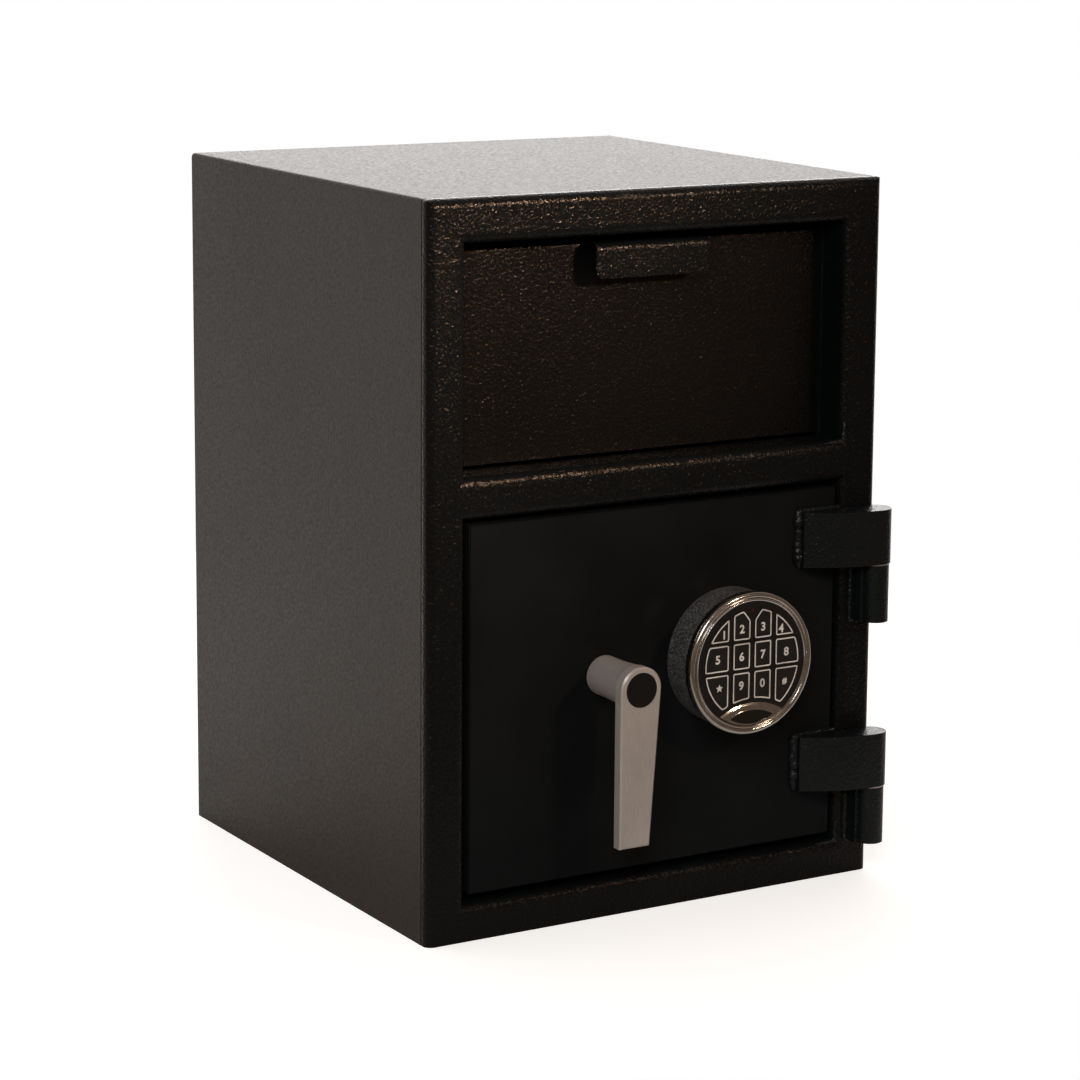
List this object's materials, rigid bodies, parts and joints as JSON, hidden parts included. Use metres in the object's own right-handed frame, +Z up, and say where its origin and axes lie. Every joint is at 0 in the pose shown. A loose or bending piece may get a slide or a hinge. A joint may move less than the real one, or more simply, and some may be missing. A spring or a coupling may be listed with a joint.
{
  "type": "drop safe with deposit drawer",
  "caption": "Black steel drop safe: a tipping deposit drawer over a hinged door with round electronic keypad, lever handle and sliding bolts.",
  "frame": {"origin": "middle of the cabinet's underside, centre of the four anchor holes", "axes": "+Z up, front face towards -Y, +X to the right seen from the front"},
  "size_m": [0.3627, 0.407, 0.5],
  "materials": {
    "frame_powder": "fine wrinkle powder coat, near black with a warm cast",
    "side_powder": "fine wrinkle powder coat, near black",
    "door_paint": "smooth satin black",
    "inner_paint": "satin dark grey",
    "plain_steel": "zinc plated",
    "bright_bolt": "polished",
    "brass": "turned",
    "lever_nickel": "satin nickel",
    "ring_chrome": "polished",
    "keypad_case": "speckled dark grey",
    "pad_plastic": "gloss black",
    "key_rubber": "satin black",
    "cap_plastic": "satin black",
    "light_red": "clear red",
    "lock_case": "cast",
    "board": "circuit board",
    "battery": "wrapped",
    "lead": "sleeved"
  },
  "bodies": {
    "cabinet": {"front_frame": "frame_powder", "body_shell": "side_powder", "back_plate": "side_powder", "bottom_plate": "side_powder", "bolt_keeper": "inner_paint", "chute_side_left": "inner_paint", "chute_side_right": "inner_paint", "anti_fish_baffle": "inner_paint", "drawer_pivot_pins": "plain_steel", "drawer_stops": "inner_paint", "hinge_leaf_upper": "frame_powder", "hinge_leaf_lower": "frame_powder", "hinge_pins": "plain_steel", "hinge_washers": "plain_steel"},
    "door": {"door_plate": "door_paint", "hinge_strap_upper": "frame_powder", "hinge_strap_lower": "frame_powder", "dead_bar": "plain_steel", "bolt_guide": "plain_steel", "carriage_stud": "plain_steel", "spindle_bush": "brass", "lock_body": "lock_case", "lock_screws": "plain_steel", "boltwork_cover": "inner_paint", "cover_screws": "plain_steel", "keypad_base": "keypad_case", "keypad_ring": "ring_chrome", "keypad_pad": "pad_plastic", "badge_trim": "ring_chrome", "badge_insert": "pad_plastic", "indicator_light": "light_red", "circuit_board": "board", "battery": "battery", "keypad_screws": "plain_steel", "lock_lead": "lead"},
    "handle": {"handle_lever": "lever_nickel", "handle_cap": "cap_plastic", "spindle": "plain_steel", "crank_disc": "plain_steel", "spindle_screws": "plain_steel"},
    "boltwork": {"bolt_carriage": "plain_steel", "live_bolts": "bright_bolt", "bolt_screws": "plain_steel"},
    "lock_bolt": {"lock_bolt": "brass"},
    "drawer": {"drawer_panel": "frame_powder", "pull_lip": "frame_powder", "hopper_tray": "inner_paint"},
    "key_1": {"key_1": "key_rubber"},
    "key_2": {"key_2": "key_rubber"},
    "key_3": {"key_3": "key_rubber"},
    "key_4": {"key_4": "key_rubber"},
    "key_5": {"key_5": "key_rubber"},
    "key_6": {"key_6": "key_rubber"},
    "key_7": {"key_7": "key_rubber"},
    "key_8": {"key_8": "key_rubber"},
    "key_star": {"key_star": "key_rubber"},
    "key_9": {"key_9": "key_rubber"},
    "key_0": {"key_0": "key_rubber"},
    "key_hash": {"key_hash": "key_rubber"}
  },
  "joints": [
    {"name": "door_hinge", "type": "hinge", "parent": "cabinet", "child": "door", "pos_m": [0.1722, -0.1925, 0.107], "axis": [0, 0, 1], "range_deg": [0, 175]},
    {"name": "handle_turn", "type": "hinge", "parent": "door", "child": "handle", "pos_m": [-0.043, -0.19, 0.1705], "axis": [0, 1, 0], "range_deg": [0, 90]},
    {"name": "bolt_slide", "type": "slide", "parent": "door", "child": "boltwork", "axis": [-1, 0, 0], "range_m": [0, 0.02546]},
    {"name": "lock_bolt_slide", "type": "slide", "parent": "door", "child": "lock_bolt", "axis": [0, 0, -1], "range_m": [0, 0.008]},
    {"name": "drawer_tilt", "type": "hinge", "parent": "cabinet", "child": "drawer", "pos_m": [0, -0.14, 0.326], "axis": [1, 0, 0], "range_deg": [0, 40]},
    {"name": "key_1_press", "type": "slide", "parent": "door", "child": "key_1", "axis": [0, 1, 0], "range_m": [0, 0.0008], "stiffness_N_per_m": 500},
    {"name": "key_2_press", "type": "slide", "parent": "door", "child": "key_2", "axis": [0, 1, 0], "range_m": [0, 0.0008], "stiffness_N_per_m": 500},
    {"name": "key_3_press", "type": "slide", "parent": "door", "child": "key_3", "axis": [0, 1, 0], "range_m": [0, 0.0008], "stiffness_N_per_m": 500},
    {"name": "key_4_press", "type": "slide", "parent": "door", "child": "key_4", "axis": [0, 1, 0], "range_m": [0, 0.0008], "stiffness_N_per_m": 500},
    {"name": "key_5_press", "type": "slide", "parent": "door", "child": "key_5", "axis": [0, 1, 0], "range_m": [0, 0.0008], "stiffness_N_per_m": 500},
    {"name": "key_6_press", "type": "slide", "parent": "door", "child": "key_6", "axis": [0, 1, 0], "range_m": [0, 0.0008], "stiffness_N_per_m": 500},
    {"name": "key_7_press", "type": "slide", "parent": "door", "child": "key_7", "axis": [0, 1, 0], "range_m": [0, 0.0008], "stiffness_N_per_m": 500},
    {"name": "key_8_press", "type": "slide", "parent": "door", "child": "key_8", "axis": [0, 1, 0], "range_m": [0, 0.0008], "stiffness_N_per_m": 500},
    {"name": "key_star_press", "type": "slide", "parent": "door", "child": "key_star", "axis": [0, 1, 0], "range_m": [0, 0.0008], "stiffness_N_per_m": 500},
    {"name": "key_9_press", "type": "slide", "parent": "door", "child": "key_9", "axis": [0, 1, 0], "range_m": [0, 0.0008], "stiffness_N_per_m": 500},
    {"name": "key_0_press", "type": "slide", "parent": "door", "child": "key_0", "axis": [0, 1, 0], "range_m": [0, 0.0008], "stiffness_N_per_m": 500},
    {"name": "key_hash_press", "type": "slide", "parent": "door", "child": "key_hash", "axis": [0, 1, 0], "range_m": [0, 0.0008], "stiffness_N_per_m": 500}
  ],
  "couplings": [
    {"joint": "bolt_slide", "follows": "handle_turn", "m_per_rad": 0.016206}
  ]
}
